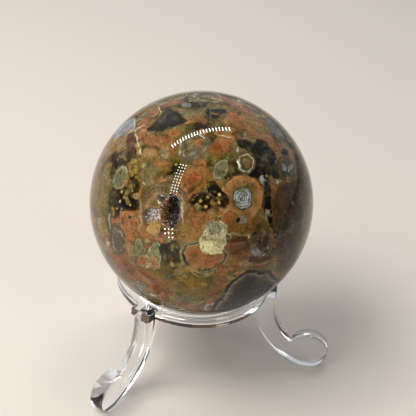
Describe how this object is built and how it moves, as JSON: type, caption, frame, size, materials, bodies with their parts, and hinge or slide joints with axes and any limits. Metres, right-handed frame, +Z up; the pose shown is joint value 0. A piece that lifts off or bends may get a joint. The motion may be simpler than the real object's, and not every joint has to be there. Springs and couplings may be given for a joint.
{
  "type": "polished thunderegg sphere on a clear stand",
  "caption": "Polished ball of nodular volcanic stone with a crystal-lined pocket, resting on a clear ring with scroll legs.",
  "frame": {"origin": "on the surface that the feet stand on, under the middle of the object's box; the stone's and the stand's common upright axis is 5.3 mm from it towards -X", "axes": "+Z up along the stand's axis, +X along the right leg; the crystal pocket faces -Y, towards the viewer"},
  "size_m": [0.0706, 0.072, 0.0796],
  "materials": {
    "polished_stone": "polished silica rock, orange and tan nodules in dark olive, opaque and glossy",
    "quartz_crystals": "small glassy grey quartz points",
    "clear_acrylic": "clear colourless acrylic with polished edges"
  },
  "bodies": {
    "root": {"stone": "polished_stone", "vug_crystals": "quartz_crystals", "stand_ring": "clear_acrylic", "leg_right": "clear_acrylic", "leg_back_left": "clear_acrylic", "leg_front_left": "clear_acrylic"}
  },
  "joints": []
}
